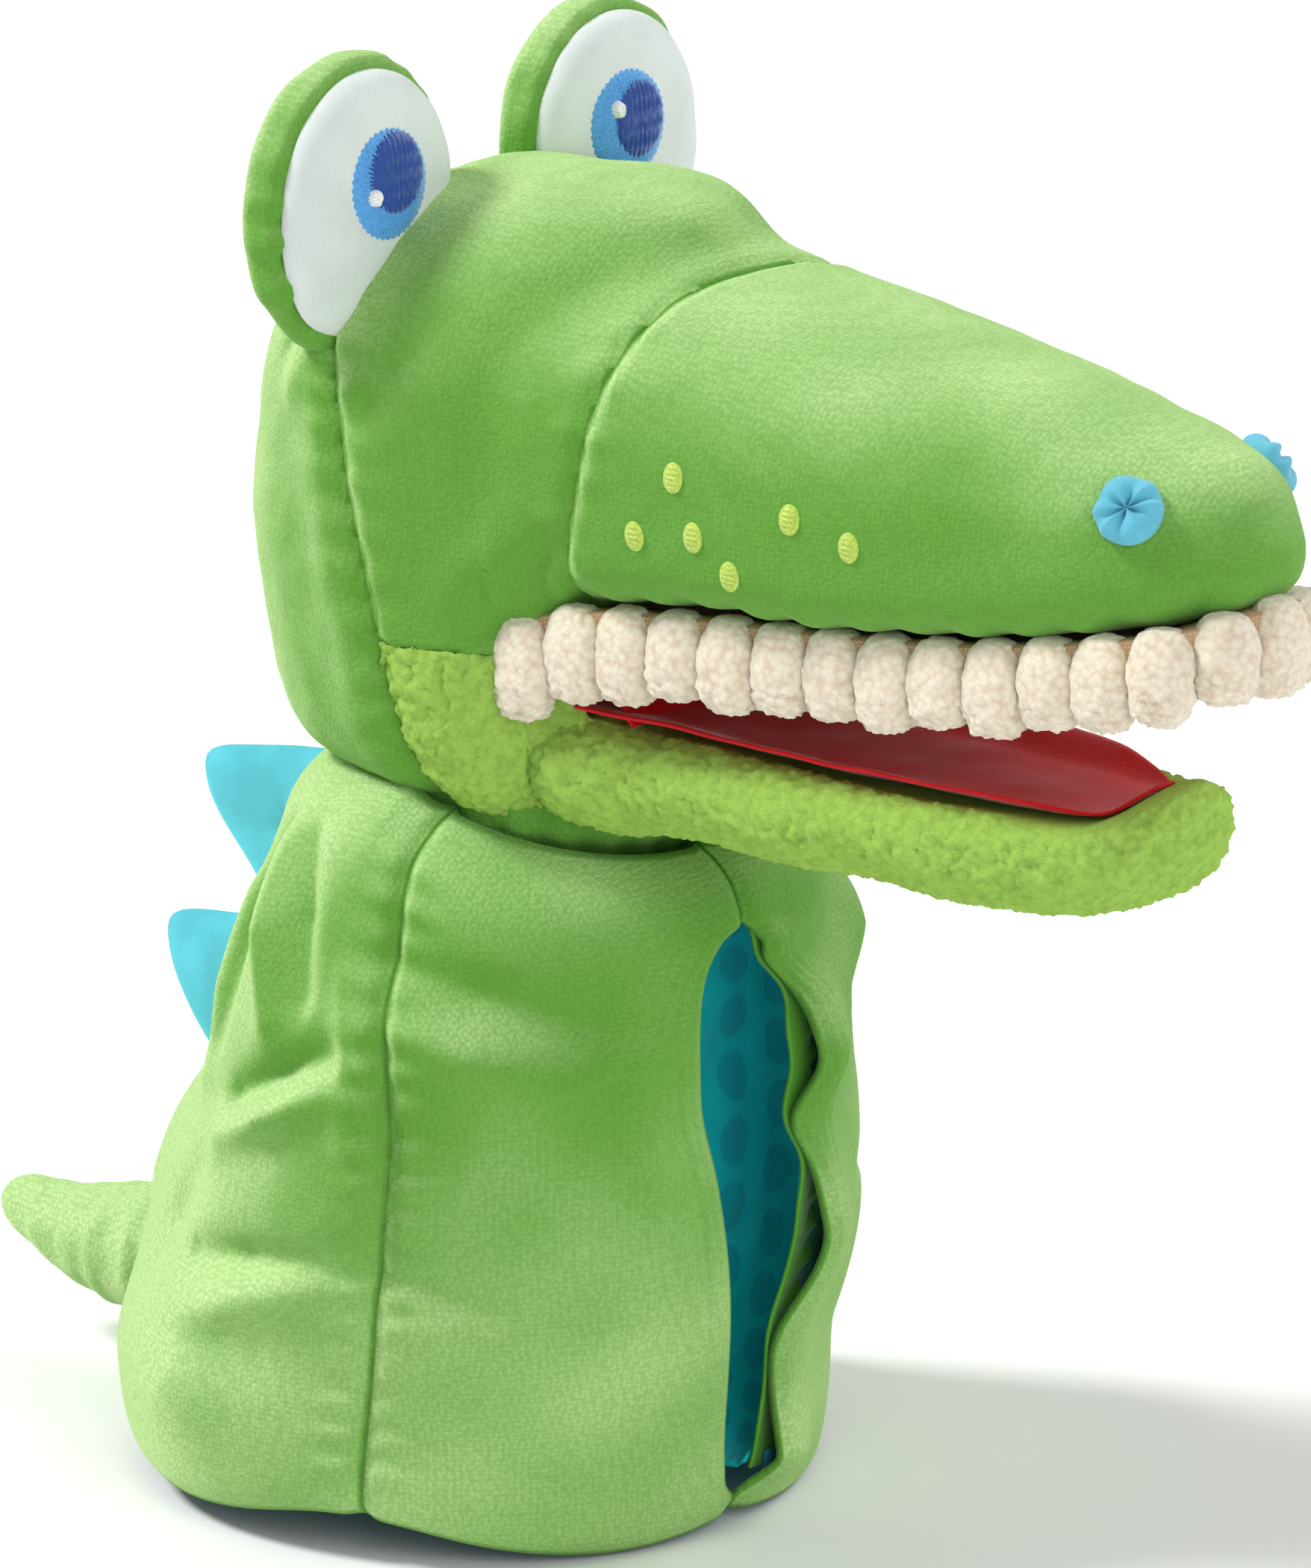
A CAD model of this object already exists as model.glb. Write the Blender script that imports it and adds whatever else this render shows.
import math
from types import SimpleNamespace

import bmesh
import bpy
from mathutils import Matrix, Vector, noise


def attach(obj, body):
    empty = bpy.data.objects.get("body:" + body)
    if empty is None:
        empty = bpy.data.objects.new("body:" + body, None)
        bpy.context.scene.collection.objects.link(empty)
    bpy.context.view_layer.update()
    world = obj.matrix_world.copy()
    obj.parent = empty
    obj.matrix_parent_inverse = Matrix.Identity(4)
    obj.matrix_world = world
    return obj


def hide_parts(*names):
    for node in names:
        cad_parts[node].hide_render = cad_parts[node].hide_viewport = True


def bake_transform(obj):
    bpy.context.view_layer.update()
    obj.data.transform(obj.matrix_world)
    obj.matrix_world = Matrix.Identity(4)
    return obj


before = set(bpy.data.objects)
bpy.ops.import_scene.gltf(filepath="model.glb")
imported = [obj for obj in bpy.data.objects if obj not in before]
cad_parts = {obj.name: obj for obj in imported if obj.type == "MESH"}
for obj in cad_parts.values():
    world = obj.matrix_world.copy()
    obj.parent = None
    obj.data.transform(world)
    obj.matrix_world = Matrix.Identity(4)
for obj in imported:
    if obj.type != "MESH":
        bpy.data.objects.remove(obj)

bl_info = {
    "name": "Crocodile glove puppet",
    "version": (1, 0, 0),
    "blender": (4, 5, 0),
    "location": "View3D > Sidebar > Puppet",
    "description": "Builds the covers, linings, teeth, eyes and stitching of a crocodile glove puppet",
    "category": "Object",
}

MM = 0.001

# Without a seed the curls' noise would start from the clock and differ from run to run
noise.seed_set(1)

# Forms of the puppet in millimetres: place along the form, middle across it, and its half sizes.
SLEEVE = [(0, 1.5, 75, 73.5), (3, 2, 77, 76), (9, 2.5, 78.5, 77.5), (22, 2, 79.5, 78.5),
          (46, -4.5, 78.5, 75.5), (72, -11, 80, 70), (90, -16, 80.5, 63.5), (108, -19, 79, 60),
          (129, -20, 71.5, 57.5), (143, -21, 64.5, 55.5), (151, -21, 59, 52.5), (157, -21, 51, 47),
          (160, -21, 45, 42)]
CRANIUM = [(153, -17, 0, 0), (154, -17, 24, 25), (157, -17, 40, 41), (163, -17, 49.5, 50.5),
           (174, -16, 54, 55.5), (190, -14, 55.5, 58), (215, -13, 56, 59), (240, -14, 55, 58),
           (258, -18, 52, 55), (270, -23, 45, 48.5), (279, -28, 35, 39), (285, -32, 22, 26),
           (288, -34, 0, 0)]
SNOUT = [(-10, 240, 40, 34), (-30, 239, 46, 38), (-50, 238, 48, 38.5), (-77, 236, 48, 37),
         (-105, 234, 46, 35), (-135, 233.5, 41.5, 31.5), (-165, 233, 35, 29), (-186, 233, 29.5, 25),
         (-197, 234, 24.5, 20.5), (-205, 235, 19, 16.5), (-210, 235.5, 13.5, 12.5),
         (-213.5, 236, 7, 7.5), (-215, 236, 0, 0)]
JAW = [(-38, 168, 0, 0), (-39.5, 168, 20, 9), (-44, 167, 34, 14.5), (-52, 166.5, 40, 16.5),
       (-62, 166.5, 39.5, 17.3), (-80, 167.5, 35.5, 16.8), (-110, 167.5, 35, 16.5),
       (-140, 167, 33, 16.5), (-163, 166.5, 30, 16), (-177, 167, 27, 15), (-186, 168.5, 22.5, 13),
       (-192, 170.5, 16, 10.5), (-195.5, 172.5, 9, 7), (-197, 173.5, 0, 0)]
TAIL = [(64, 20, 0, 0), (65, 20, 14, 14), (71, 20, 17, 17), (82, 19.5, 17, 17), (94, 19, 16.2, 16.2),
        (106, 18, 14.4, 14.4), (118, 17.8, 12, 12), (130, 19, 9.2, 9.2), (138, 20.5, 7.2, 7.2),
        (143, 21.8, 5, 5), (145.5, 22.3, 0, 0)]

# The height of the mouth's roof at a place in Y, and the side seam's place in Y at a height
ROOF = [(-40, 196.5), (-48, 199), (-59, 202.5), (-90, 205.5), (-120, 206.8), (-150, 209),
        (-170, 211.8), (-187, 215), (-200, 218), (-208, 220.5), (-216, 223.5), (-224, 226)]
SIDE_SEAM = [(0, -26), (22, -29), (50, -33), (90, -39), (120, -36), (150, -31), (160, -30)]
MOUTH_BACK, MOUTH_FRONT = -42, -219
NAPE_SEAM = ((-16, 205), math.radians(14))
BROW_SEAM = ((-69, 240), math.radians(-12.5))
SLIT_MIDDLE, SLIT_HALF_HEIGHT, SLIT_HALF_WIDTH = 72, 69, 15
# The sleeve's top, the radius that turns lengths along its cloth into angles, and a point in its middle
SLEEVE_TOP, SLEEVE_RADIUS, SLEEVE_CENTRE = 160, 70, (0, -14, 75)
NECK_MIDDLE = -20
TEETH = 29
# The sides, in the order in which their pieces are made, with the sign of X on each
SIDES = (("right", -1), ("left", 1))
# How pale the velour is everywhere, and how much paler on top, behind and near the hem
PALE_BASE, PALE_TOP, PALE_BACK, PALE_HEM = 0.04, 0.55, 0.95, 0.42
FILLING_STEPS = 20


# Curves and small sums
def along(table, place):
    """The table's columns at a place, on a smooth curve through its rows."""
    rows = table if table[0][0] < table[-1][0] else table[::-1]
    place = min(max(place, rows[0][0]), rows[-1][0])
    index = max(i for i in range(len(rows) - 1) if rows[i][0] <= place)
    before, start = rows[max(index - 1, 0)], rows[index]
    end, after = rows[index + 1], rows[min(index + 2, len(rows) - 1)]
    span = end[0] - start[0]
    t = (place - start[0]) / span
    values = []
    for k in range(1, len(start)):
        left = (end[k] - before[k]) / (end[0] - before[0])
        right = (after[k] - start[k]) / (after[0] - start[0])
        values.append(start[k] * (1 + 2 * t) * (1 - t) ** 2 + left * span * t * (1 - t) ** 2
                      + end[k] * t * t * (3 - 2 * t) + right * span * t * t * (t - 1))
    return values


def bell(distance, width):
    """1 at no distance, falling smoothly to 0 past the width."""
    return math.exp(-(distance / width) ** 2)


def ramp(value, low, high):
    """0 below low, 1 above high, smooth between."""
    t = min(max((value - low) / (high - low), 0), 1)
    return t * t * (3 - 2 * t)


def signed_power(value, power):
    """A power of a value's size, with the value's sign."""
    return math.copysign(abs(value) ** power, value)


def turned_from(turn, place):
    """How far a turn in degrees is from a place, between -180 and 180."""
    return (turn - place + 180) % 360 - 180


def ball_slice(share):
    """The girth and the height of a unit ball's slice, at a share of the way from pole to pole."""
    return math.sin(share * math.pi), -math.cos(share * math.pi)


def slice_at(table, share):
    """The place of a form's slice, a share of the way along, with its middle and half sizes."""
    first, last = table[0][0], table[-1][0]
    place = first + (last - first) * (1 - math.cos(share * math.pi)) / 2
    middle, wide, high = along(table, place)
    return place, middle, max(wide, 0), max(high, 0)


def near_line(point, start, end):
    """How far a point is from a line between two others, and the share of the line where it is nearest."""
    line, away = Vector(end) - Vector(start), point - Vector(start)
    share = min(max(away.dot(line) / line.length_squared, 0), 1)
    return (away - line * share).length, share


def ripple(x, y, z, size, seed=0):
    """Smooth noise between about -1 and 1 whose lumps are as large as the size."""
    return noise.noise(Vector((x / size + seed * 17.3, y / size - seed * 5.1, z / size + seed)))


def curls(point, size):
    """The height of curly fleece, from 0 between the curls to 1 on top of them."""
    warped = point + noise.noise_vector(point / (size * 1.6)) * size * 0.7
    nearest = noise.voronoi(warped / size)[0]
    return max(0, 1 - nearest[0] * 1.25) ** 0.8


# Meshes
def linked(name, data):
    """An object of the data, linked into the scene."""
    thing = bpy.data.objects.new(name, data)
    bpy.context.scene.collection.objects.link(thing)
    return thing


def as_data(name, mesh):
    """Turn a bmesh into mesh data and free it."""
    data = bpy.data.meshes.new(name)
    mesh.to_mesh(data)
    mesh.free()
    return data


def new_object(name, mesh):
    """Make an object of a bmesh whose coordinates are in millimetres."""
    bmesh.ops.scale(mesh, vec=(MM,) * 3, verts=mesh.verts)
    return linked(name, as_data(name, mesh))


def add_to(group, mesh):
    """Move a bmesh into a group of several."""
    data = as_data("part", mesh)
    group.from_mesh(data)
    bpy.data.meshes.remove(data)


def ball_mesh(columns, rows, place):
    """A closed mesh: a sphere whose points go where place(around, share) says.

    around runs over a full turn in radians and share from 0 at one pole to 1 at the other.
    """
    mesh = bmesh.new()
    bmesh.ops.create_uvsphere(mesh, u_segments=columns, v_segments=rows, radius=1)
    for vert in mesh.verts:
        around = math.atan2(vert.co.y, vert.co.x)
        vert.co = place(around, math.acos(max(-1, min(1, -vert.co.z))) / math.pi)
    bmesh.ops.recalc_face_normals(mesh, faces=mesh.faces)
    return mesh


def sheet_mesh(columns, rows, size, place):
    """A rectangle whose points go where place(u, v) says, with its UV map in metres of cloth."""
    mesh = bmesh.new()
    mesh.loops.layers.uv.new("UVMap")
    bmesh.ops.create_grid(mesh, x_segments=columns, y_segments=rows, size=0.5, calc_uvs=True)
    layer = mesh.loops.layers.uv.active
    for face in mesh.faces:
        for loop in face.loops:
            u, v = loop.vert.co.x + 0.5, loop.vert.co.y + 0.5
            loop[layer].uv = (u * size[0] * MM, v * size[1] * MM)
    for vert in mesh.verts:
        vert.co = place(min(max(vert.co.x + 0.5, 0), 1), min(max(vert.co.y + 0.5, 0), 1))
    return mesh


def thicken(thing, wall, offset=-1):
    """Give a sheet its wall in millimetres, inwards unless the offset says otherwise."""
    solid = thing.modifiers.new("wall", "SOLIDIFY")
    solid.thickness = wall * MM
    solid.offset = offset
    solid.use_even_offset = False
    return apply_modifiers(thing)


def cloth_piece(name, grid, size, place, wall, middle=None):
    """A sheet with its wall: inwards where the sheet lies round a middle, or else half to each side."""
    thing = new_object(name, sheet_mesh(*grid, size, place))
    if middle:
        face_out(thing, middle)
    return thicken(thing, wall, -1 if middle else 0)


def face_out(thing, middle):
    """Turn a sheet's faces so that they look away from a middle."""
    data = thing.data
    middle = Vector(middle) * MM
    votes = sum((face.center - middle).dot(face.normal) * face.area for face in data.polygons)
    if votes < 0:
        data.flip_normals()


def stroke_pile(thing, mesh):
    """Store how pale the pile lies: palest on top, behind and near the hem, and dark at the cut edges."""
    values = []
    for vert in mesh.verts:
        point, normal = vert.co / MM, vert.normal
        lie = PALE_BASE + PALE_TOP * max(normal.z, 0) + PALE_BACK * max(normal.y, 0)
        lie += PALE_HEM * (1 - ramp(point.z, 25, 130))
        lie = min(max(lie + 0.16 * ripple(*point, 24, 11), 0), 1)
        values.append(lie * (1 - ramp(vert.calc_shell_factor(), 1.04, 1.25)))
    thing.data.attributes.new("stroke", "FLOAT", "POINT").data.foreach_set("value", values)


def apply_modifiers(thing):
    """Make an object's mesh what its modifiers show."""
    graph = bpy.context.evaluated_depsgraph_get()
    data = bpy.data.meshes.new_from_object(thing.evaluated_get(graph))
    thing.modifiers.clear()
    old = thing.data
    thing.data = data
    bpy.data.meshes.remove(old)
    return thing


def displace(thing, height):
    """Move every point along its normal by height(point, normal), all in millimetres."""
    normals = [v.normal.copy() for v in thing.data.vertices]
    for vert, normal in zip(thing.data.vertices, normals):
        point = vert.co / MM
        vert.co += normal * height(point, normal) * MM
    thing.data.update()


def finish_piece(thing, finish, body, *nodes):
    """Give a piece its finish, its CAD body (None where it bends) and the nodes that it stands for."""
    thing.data.materials.clear()
    mesh = bmesh.new()
    mesh.from_mesh(thing.data)
    if mesh.calc_volume(signed=True) < 0:
        bmesh.ops.reverse_faces(mesh, faces=mesh.faces)
        mesh.normal_update()
        mesh.to_mesh(thing.data)
    if finish == "green_velour":
        stroke_pile(thing, mesh)
    mesh.free()
    thing.data.materials.append(material(finish))
    for face in thing.data.polygons:
        face.use_smooth = True
    if body:
        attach(thing, body)
    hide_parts(*nodes)


def skin(name, forms, voxel):
    """One closed skin round the joined forms, rebuilt in even squares."""
    joined = bmesh.new()
    for form in forms:
        add_to(joined, form)
    thing = new_object(name, joined)
    remesh = thing.modifiers.new("squares", "REMESH")
    remesh.mode = "VOXEL"
    remesh.voxel_size = voxel * MM
    apply_modifiers(thing)
    relax = thing.modifiers.new("relax", "SMOOTH")
    relax.factor = 0.5
    relax.iterations = 6
    return apply_modifiers(thing)


def stuff(thing, held, most, pressure=4.0):
    """Blow a closed skin out with cloth simulation. held(point) says where seams hold it, from 0 to 1."""
    group = thing.vertex_groups.new(name="seams")
    for vert in thing.data.vertices:
        group.add([vert.index], held(vert.co / MM), "REPLACE")
    cloth = thing.modifiers.new("filling", "CLOTH")
    cloth.settings.use_pressure = True
    cloth.settings.uniform_pressure_force = pressure
    cloth.settings.vertex_group_mass = "seams"
    cloth.settings.effector_weights.gravity = 0
    cloth.settings.quality = 6
    cloth.collision_settings.use_collision = False
    scene = bpy.context.scene
    for step in range(FILLING_STEPS):
        scene.frame_set(step + 1)
    graph = bpy.context.evaluated_depsgraph_get()
    blown = thing.evaluated_get(graph).data
    for vert, moved in zip(thing.data.vertices, blown.vertices):
        shift = moved.co - vert.co
        if shift.length > most * MM:
            shift = shift.normalized() * most * MM
        vert.co += shift
    thing.modifiers.clear()
    thing.vertex_groups.clear()
    scene.frame_set(1)
    thing.data.update()


def subdivide(thing):
    """Split every face in four, smoothly."""
    smooth = thing.modifiers.new("smooth", "SUBSURF")
    smooth.levels = smooth.render_levels = 1
    apply_modifiers(thing)


def trimmed(thing, name, cuts):
    """A copy of a skin without what lies on the positive side of each plane (point, normal)."""
    mesh = bmesh.new()
    mesh.from_mesh(thing.data)
    for point, normal in cuts:
        everything = mesh.verts[:] + mesh.edges[:] + mesh.faces[:]
        bmesh.ops.bisect_plane(mesh, geom=everything, dist=1e-6, plane_co=Vector(point) * MM,
                               plane_no=Vector(normal), clear_outer=True)
    return linked(name, as_data(name, mesh))


def drop(thing):
    """Remove an object that only helped to make others."""
    data = thing.data
    bpy.data.objects.remove(thing)
    bpy.data.meshes.remove(data)


# Shader graphs
class Wire:
    """A shader socket that Python's arithmetic joins with Math nodes."""

    def __init__(self, graph, socket):
        self.graph = graph
        self.socket = socket

    def math(self, operation, *others):
        """The result of a Math node whose first value is this one."""
        node = self.graph.node("ShaderNodeMath", {"operation": operation},
                               {i: value for i, value in enumerate((self, *others))})
        return Wire(self.graph, node.outputs[0])

    def __add__(self, other):
        return self.math("ADD", other)

    __radd__ = __add__

    def __sub__(self, other):
        return self.math("SUBTRACT", other)

    def __rsub__(self, other):
        return Wire.math(Wire(self.graph, other), "SUBTRACT", self)

    def __mul__(self, other):
        return self.math("MULTIPLY", other)

    __rmul__ = __mul__

    def between(self, low, high):
        """0 below low and 1 above high, smooth between."""
        node = self.graph.node("ShaderNodeMapRange", {"interpolation_type": "SMOOTHSTEP"},
                               {"Value": self, "From Min": low, "From Max": high})
        return Wire(self.graph, node.outputs["Result"])


class Finish:
    """A material and the shader graph that makes it."""

    def __init__(self, name, **shader):
        self.material = bpy.data.materials.new(name)
        self.material.use_nodes = True
        self.tree = self.material.node_tree
        self.shader = self.tree.nodes["Principled BSDF"]
        self.coords = self.node("ShaderNodeTexCoord")
        for socket, value in shader.items():
            self.set(socket.replace("_", " "), value)

    def node(self, kind, settings=None, inputs=None):
        """Add a node, with its settings first and then the values or links of its sockets."""
        node = self.tree.nodes.new(kind)
        for name, value in (settings or {}).items():
            setattr(node, name, value)
        for name, value in (inputs or {}).items():
            self.join(node.inputs[name], value)
        return node

    def join(self, socket, value):
        """Link a wire to a socket, or set the socket's value."""
        if isinstance(value, Wire) and hasattr(value.socket, "is_output"):
            self.tree.links.new(value.socket, socket)
        elif isinstance(value, Wire):
            socket.default_value = value.socket
        else:
            socket.default_value = value

    def set(self, socket, value):
        """Link or set a socket of the material's shader."""
        self.join(self.shader.inputs[socket], value)

    def wire(self, node, output=0):
        """A node's output, to calculate with."""
        return Wire(self, node.outputs[output])

    def place(self, kind="Object", scale=(1, 1, 1), turn=0.0):
        """Coordinates of a kind, scaled along each axis and turned round Z."""
        mapping = self.node("ShaderNodeMapping", {}, {
            "Vector": self.wire(self.coords, kind), "Scale": scale, "Rotation": (0, 0, turn)})
        return self.wire(mapping)

    def noise(self, size, detail=2.0, roughness=0.5, stretch=(1, 1, 1)):
        """Noise whose lumps are as large as the size in millimetres."""
        node = self.node("ShaderNodeTexNoise", {}, {
            "Vector": self.place(scale=stretch), "Scale": 1 / (size * MM), "Detail": detail,
            "Roughness": roughness})
        return self.wire(node, "Fac")

    def cells(self, size, randomness=1.0):
        """The distance from the nearest of many points, a size in millimetres apart."""
        node = self.node("ShaderNodeTexVoronoi", {"feature": "F1"}, {
            "Vector": self.place(), "Scale": 1 / (size * MM), "Randomness": randomness})
        return self.wire(node, "Distance")

    def threads(self, size, turn=0.0):
        """Parallel threads of a sheet, 1 on top and 0 between them, a size apart in millimetres."""
        node = self.node("ShaderNodeTexWave", {"wave_type": "BANDS", "bands_direction": "X"}, {
            "Vector": self.place("UV", turn=turn), "Scale": 1 / (size * MM) / 3.1831})
        return self.wire(node, "Fac")

    def mix(self, share, first, second):
        """The first colour, with a share of the second."""
        node = self.node("ShaderNodeMix", {"data_type": "RGBA", "blend_type": "MIX"})
        self.join(node.inputs[0], share)
        for socket, value in ((node.inputs[6], first), (node.inputs[7], second)):
            self.join(socket, value if isinstance(value, Wire) else (*value[:3], 1.0))
        return self.wire(node, 2)

    def bump(self, height, depth, strength=1.0):
        """Raise the surface by the height, whose 1 stands for a depth in millimetres."""
        node = self.node("ShaderNodeBump", {}, {
            "Strength": strength, "Distance": depth * MM, "Height": height})
        self.set("Normal", self.wire(node))


def shade(colour, light):
    """The colour made lighter above 1 or darker below it."""
    return tuple(min(max(c * light, 0), 1) for c in colour[:3])


def velour(name, colour, pale):
    """Short pile: paler where the stroke attribute is high, with a fine grain of loops."""
    finish = Finish(name, Roughness=0.85, Sheen_Weight=0.32, Sheen_Roughness=0.42,
                    Sheen_Tint=(*pale[:3], 1), Specular_IOR_Level=0.15)
    pile = finish.node("ShaderNodeAttribute", {"attribute_name": "stroke"})
    stroked = finish.wire(pile, "Fac").between(0.05, 0.9)
    grain = finish.noise(0.9, 2.0)
    loops = finish.cells(1.15, randomness=0.55)
    base = finish.mix(stroked * 0.85, shade(colour, 0.84), pale)
    base = finish.mix((loops * 0.7 + grain * 0.5).between(0.3, 0.8) * 0.34, base, shade(colour, 0.55))
    finish.set("Base Color", base)
    finish.set("Roughness", 0.78 + grain * 0.2)
    finish.bump(loops * 0.5 + grain * 0.8, 0.45, 0.9)
    return finish.material


def fleece(name, colour):
    """Curly fleece: lighter on top of its curls and dark between them."""
    finish = Finish(name, Roughness=0.95, Sheen_Weight=0.6, Sheen_Roughness=0.5,
                    Sheen_Tint=(*shade(colour, 1.3), 1), Specular_IOR_Level=0.1)
    tufts = finish.cells(1.9)
    fibres = finish.noise(0.5, 3.0, roughness=0.7)
    finish.set("Base Color", finish.mix(tufts.between(0.35, 0.95) * 0.35 + fibres * 0.3,
                                        shade(colour, 1.2), shade(colour, 0.62)))
    finish.bump((1 - tufts) * 0.5 + fibres * 0.9, 0.8, 0.9)
    return finish.material


def plush(name, colour, valley):
    """Cream teeth: fuzzy at the tips, with a warm shade low in the pile."""
    finish = Finish(name, Roughness=0.95, Sheen_Weight=0.8, Sheen_Roughness=0.5,
                    Sheen_Tint=(1.0, 0.96, 0.88, 1), Specular_IOR_Level=0.1,
                    Subsurface_Weight=0.12, Subsurface_Scale=0.004)
    tufts = finish.cells(1.7)
    fibres = finish.noise(0.45, 3.0, roughness=0.7)
    warm = tufts.between(0.3, 0.95) * 0.45 + fibres.between(0.5, 0.8) * 0.2
    finish.set("Base Color", finish.mix(warm, colour, valley))
    finish.bump((1 - tufts) * 0.7 + fibres * 0.6, 0.7, 0.85)
    return finish.material


def smooth_cloth(name, colour, rows=0.7, sheen=0.3, roughness=0.7):
    """Jersey or satin: fine rows of stitches and a soft unevenness."""
    finish = Finish(name, Roughness=roughness, Sheen_Weight=sheen, Sheen_Roughness=0.4,
                    Specular_IOR_Level=0.25)
    uneven = finish.noise(14, 2.0)
    grain = finish.noise(rows, 1.0, stretch=(1, 1, 2.2))
    base = finish.mix(uneven.between(0.3, 0.7) * 0.35, shade(colour, 0.9), shade(colour, 1.12))
    finish.set("Base Color", finish.mix(grain.between(0.4, 0.75) * 0.25, base, shade(colour, 0.7)))
    finish.bump(grain, 0.16, 0.8)
    return finish.material


def woven_tape(name, colour):
    """Plain weave: threads over and under one another."""
    finish = Finish(name, Roughness=0.85, Specular_IOR_Level=0.2)
    weave = finish.threads(1.0) * finish.threads(1.0, math.pi / 2)
    finish.set("Base Color", finish.mix(weave, shade(colour, 0.7), shade(colour, 1.15)))
    finish.bump(weave, 0.25, 0.9)
    return finish.material


def dotted_cloth(name, colour, dot):
    """Teal cloth printed with columns of darker oval dots, every other column half a step down."""
    finish = Finish(name, Roughness=0.75, Sheen_Weight=0.3, Specular_IOR_Level=0.2)
    across, up = 11.0, 10.0
    split = finish.node("ShaderNodeSeparateXYZ", {}, {"Vector": finish.wire(finish.coords, "UV")})
    x = finish.wire(split, "X") * (1 / (across * MM))
    y = finish.wire(split, "Y") * (1 / (up * MM))
    column = x.math("FLOOR")
    shifted = y + column.math("MODULO", 2.0).math("ABSOLUTE") * 0.5
    off_x = x - column - 0.5
    off_y = shifted - shifted.math("FLOOR") - 0.5
    distance = (off_x * off_x * 1.5 + off_y * off_y).math("SQRT")
    spot = 1 - distance.between(0.36, 0.42)
    uneven = finish.noise(9, 2.0)
    ground = finish.mix(uneven * 0.4, shade(colour, 0.85), shade(colour, 1.2))
    weave = finish.noise(0.6, 1.0)
    finish.set("Base Color", finish.mix(spot * 0.85, ground, dot))
    finish.bump(weave, 0.12, 0.6)
    return finish.material


def felt(name, colour):
    """Padded felt: short matted fibres, a little paler in patches."""
    finish = Finish(name, Roughness=0.9, Sheen_Weight=0.7, Sheen_Roughness=0.45,
                    Sheen_Tint=(*shade(colour, 1.6), 1), Specular_IOR_Level=0.1)
    patches = finish.noise(12, 2.0)
    fibres = finish.noise(0.6, 4.0, roughness=0.75)
    base = finish.mix(patches.between(0.35, 0.7) * 0.5, shade(colour, 0.88), shade(colour, 1.2))
    finish.set("Base Color", finish.mix(fibres.between(0.5, 0.8) * 0.3, base, shade(colour, 0.6)))
    finish.bump(fibres, 0.3, 0.7)
    return finish.material


def thread(name, colour):
    """Embroidery thread with a silky gloss."""
    finish = Finish(name, Roughness=0.45, Sheen_Weight=0.4, Specular_IOR_Level=0.4, Anisotropic=0.4)
    strands = finish.noise(0.35, 2.0)
    finish.set("Base Color",
               finish.mix(strands.between(0.3, 0.7), shade(colour, 0.75), shade(colour, 1.25)))
    finish.bump(strands, 0.12, 0.7)
    return finish.material


# Settings that a user would change
def colour_setting(name, text, value):
    """A colour of the puppet."""
    return bpy.props.FloatVectorProperty(name=name, description=text, subtype="COLOR", size=3,
                                         min=0, max=1, default=value)


def length_setting(name, text, value):
    """A length of the puppet, given here in millimetres and kept in metres."""
    return bpy.props.FloatProperty(name=name, description=text, default=value * MM, min=0, unit="LENGTH",
                                   precision=4)


class PuppetColours(bpy.types.PropertyGroup):
    green: colour_setting("Green velour", "Colour where the pile lies dark", (0.155, 0.42, 0.055))
    pale_green: colour_setting("Stroked velour", "Colour where the pile lies pale", (0.62, 0.86, 0.38))
    fleece: colour_setting("Fleece", "Curly fleece of the jaw and throat", (0.34, 0.56, 0.10))
    facing: colour_setting("Slit facing", "Smooth cloth inside the slit's edges", (0.11, 0.40, 0.035))
    red: colour_setting("Mouth lining", "Red jersey in the mouth", (0.66, 0.004, 0.008))
    tooth: colour_setting("Teeth", "Cream plush", (0.88, 0.80, 0.64))
    tooth_shade: colour_setting("Teeth's depth", "Plush low in the pile", (0.58, 0.38, 0.22))
    tape: colour_setting("Tape", "Woven tape behind the teeth", (0.66, 0.44, 0.25))
    teal: colour_setting("Belly lining", "Ground of the dotted cloth", (0.0, 0.58, 0.64))
    dot: colour_setting("Dots", "Printed dots", (0.0, 0.38, 0.46))
    hem: colour_setting("Hem facing", "Cloth inside the hem", (0.035, 0.27, 0.50))
    fin: colour_setting("Fins", "Felt of the back fins", (0.13, 0.60, 0.74))
    nostril: colour_setting("Nostrils", "Gathered jersey", (0.13, 0.50, 0.66))
    eye_white: colour_setting("Eye white", "Smooth white cloth", (0.72, 0.78, 0.76))
    iris: colour_setting("Iris", "Light blue thread", (0.075, 0.33, 0.72))
    pupil: colour_setting("Pupil", "Dark blue thread", (0.002, 0.05, 0.30))
    glint: colour_setting("Glint", "White thread", (0.86, 0.90, 0.86))
    spot: colour_setting("Cheek spots", "Yellow-green thread", (0.46, 0.62, 0.085))


class PuppetSizes(bpy.types.PropertyGroup):
    fold: length_setting("Fold depth", "Depth of the sleeve's soft folds", 4.8)
    seam: length_setting("Seam depth", "How far a seam pulls in", 2.0)
    pucker: length_setting("Pucker", "Height of the small wrinkles at a seam", 0.5)
    curl: length_setting("Curl", "Height of the fleece's curls", 1.8)
    cover: length_setting("Cover", "Thickness of the velour", 1.8)
    cloth: length_setting("Cloth", "Thickness of linings", 0.8)


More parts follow.
